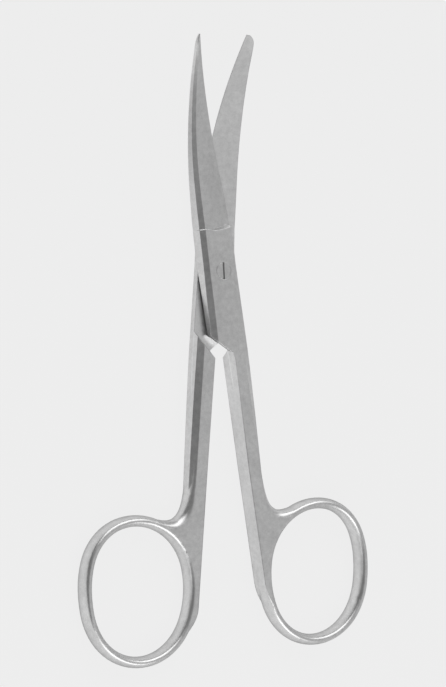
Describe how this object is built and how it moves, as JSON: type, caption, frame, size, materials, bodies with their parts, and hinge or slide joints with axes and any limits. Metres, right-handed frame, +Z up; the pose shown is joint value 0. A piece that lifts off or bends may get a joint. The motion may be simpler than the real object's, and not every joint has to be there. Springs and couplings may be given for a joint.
{
  "type": "curved scissors",
  "caption": "Curved operating scissors in satin steel with one sharp and one blunt point, a lapped pivot with a slotted screw, and oval finger rings; the halves open and close.",
  "frame": {"origin": "on the table, right under the pivot screw's axis", "axes": "+Y towards the blade tips, +X to the side of the upper half's finger ring, +Z up out of the table"},
  "size_m": [0.0778, 0.1415, 0.0097],
  "materials": {
    "satin_steel": "satin, fine glass-bead grain",
    "screw_steel": "ground flush and satin with the plate"
  },
  "bodies": {
    "lower": {"blunt_half": "satin_steel", "pivot_screw": "screw_steel"},
    "upper": {"sharp_half": "satin_steel"}
  },
  "joints": [
    {"name": "pivot", "type": "hinge", "parent": "lower", "child": "upper", "pos_m": [0, 0, 0], "axis": [0, 0, 1], "range_deg": [-14, 76]}
  ]
}
